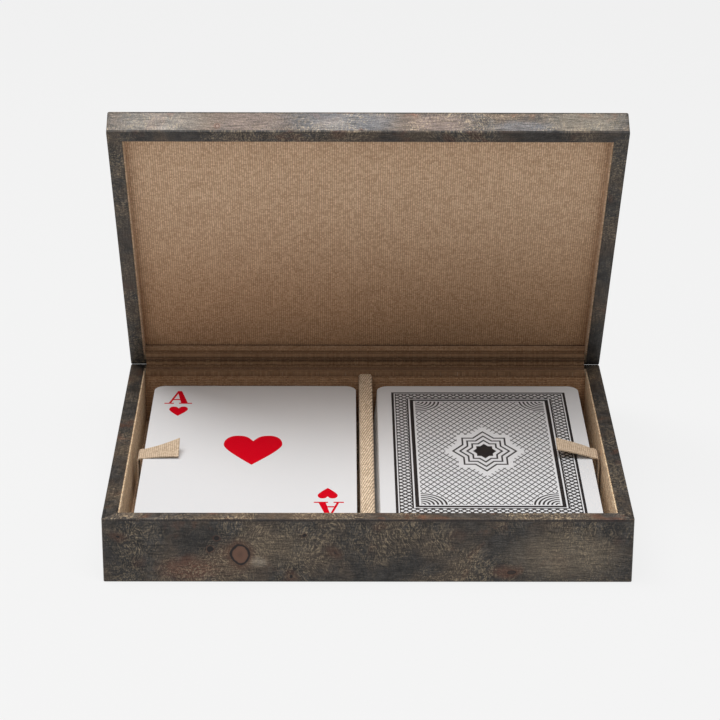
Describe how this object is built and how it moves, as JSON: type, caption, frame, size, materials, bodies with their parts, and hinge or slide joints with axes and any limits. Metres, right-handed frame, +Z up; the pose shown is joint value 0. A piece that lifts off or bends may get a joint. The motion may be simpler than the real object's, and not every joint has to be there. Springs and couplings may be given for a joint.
{
  "type": "playing card box",
  "caption": "Flat hinged-lid box for two decks of cards: burl veneer outside, woven lining, a divider and a lifting ribbon for each deck.",
  "frame": {"origin": "middle of the felt underside that the box rests on", "axes": "+X along the box's width to the viewer's right, +Y to the hinges at the back, +Z up"},
  "size_m": [0.1344, 0.107, 0.1079],
  "materials": {
    "burl_veneer": "stained burl, satin lacquer",
    "rim_veneer": "stained burl, satin lacquer",
    "core_board": "fibreboard, sanded",
    "case_linen": "ribbed woven linen",
    "lid_linen": "heathered woven linen",
    "hinge_linen": "ribbed woven linen",
    "felt": "pressed felt",
    "ribbon_tape": "woven tape",
    "hinge_brass": "brushed",
    "screw_brass": "turned",
    "ace_card_print": "smooth coated",
    "patterned_card_print": "smooth coated",
    "card_edges": "cut edges"
  },
  "bodies": {
    "case": {"base_back_board": "core_board", "base_back_lining": "case_linen", "base_back_rim": "rim_veneer", "base_back_veneer": "burl_veneer", "base_felt": "felt", "base_floor_board": "core_board", "base_front_board": "core_board", "base_front_lining": "case_linen", "base_front_rim": "rim_veneer", "base_front_veneer": "burl_veneer", "base_hinge_screws": "screw_brass", "base_left_board": "core_board", "base_left_lining": "case_linen", "base_left_rim": "rim_veneer", "base_left_veneer": "burl_veneer", "base_right_board": "core_board", "base_right_lining": "case_linen", "base_right_rim": "rim_veneer", "base_right_veneer": "burl_veneer", "divider_core": "core_board", "divider_cover": "case_linen", "hinge_cloth": "hinge_linen", "left_floor_lining": "case_linen", "left_hinge_base_leaf": "hinge_brass", "left_hinge_pin": "hinge_brass", "left_ribbon": "ribbon_tape", "right_floor_lining": "case_linen", "right_hinge_base_leaf": "hinge_brass", "right_hinge_pin": "hinge_brass", "right_ribbon": "ribbon_tape"},
    "lid": {"left_hinge_lid_leaf": "hinge_brass", "lid_back_board": "core_board", "lid_back_lining": "case_linen", "lid_back_rim": "rim_veneer", "lid_back_veneer": "burl_veneer", "lid_front_board": "core_board", "lid_front_lining": "case_linen", "lid_front_rim": "rim_veneer", "lid_front_veneer": "burl_veneer", "lid_hinge_screws": "screw_brass", "lid_left_board": "core_board", "lid_left_lining": "case_linen", "lid_left_rim": "rim_veneer", "lid_left_veneer": "burl_veneer", "lid_panel_lining": "lid_linen", "lid_right_board": "core_board", "lid_right_lining": "case_linen", "lid_right_rim": "rim_veneer", "lid_right_veneer": "burl_veneer", "lid_top_board": "core_board", "lid_top_veneer": "burl_veneer", "right_hinge_lid_leaf": "hinge_brass"},
    "left_cards": {"ace_card": "ace_card_print", "left_deck": "card_edges"},
    "right_cards": {"patterned_card": "patterned_card_print", "right_deck": "card_edges"}
  },
  "joints": [
    {"name": "lid_hinge", "type": "hinge", "parent": "case", "child": "lid", "pos_m": [0, 0.0506, 0.0179], "axis": [-1, 0, 0], "range_deg": [-58.7, 41.3], "deforming": ["hinge_cloth"]},
    {"name": "left_deck_lift", "type": "slide", "parent": "case", "child": "left_cards", "axis": [0, 0, 1], "range_m": [0, 0.006], "deforming": ["left_ribbon"]},
    {"name": "right_deck_lift", "type": "slide", "parent": "case", "child": "right_cards", "axis": [0, 0, 1], "range_m": [0, 0.006], "deforming": ["right_ribbon"]}
  ]
}
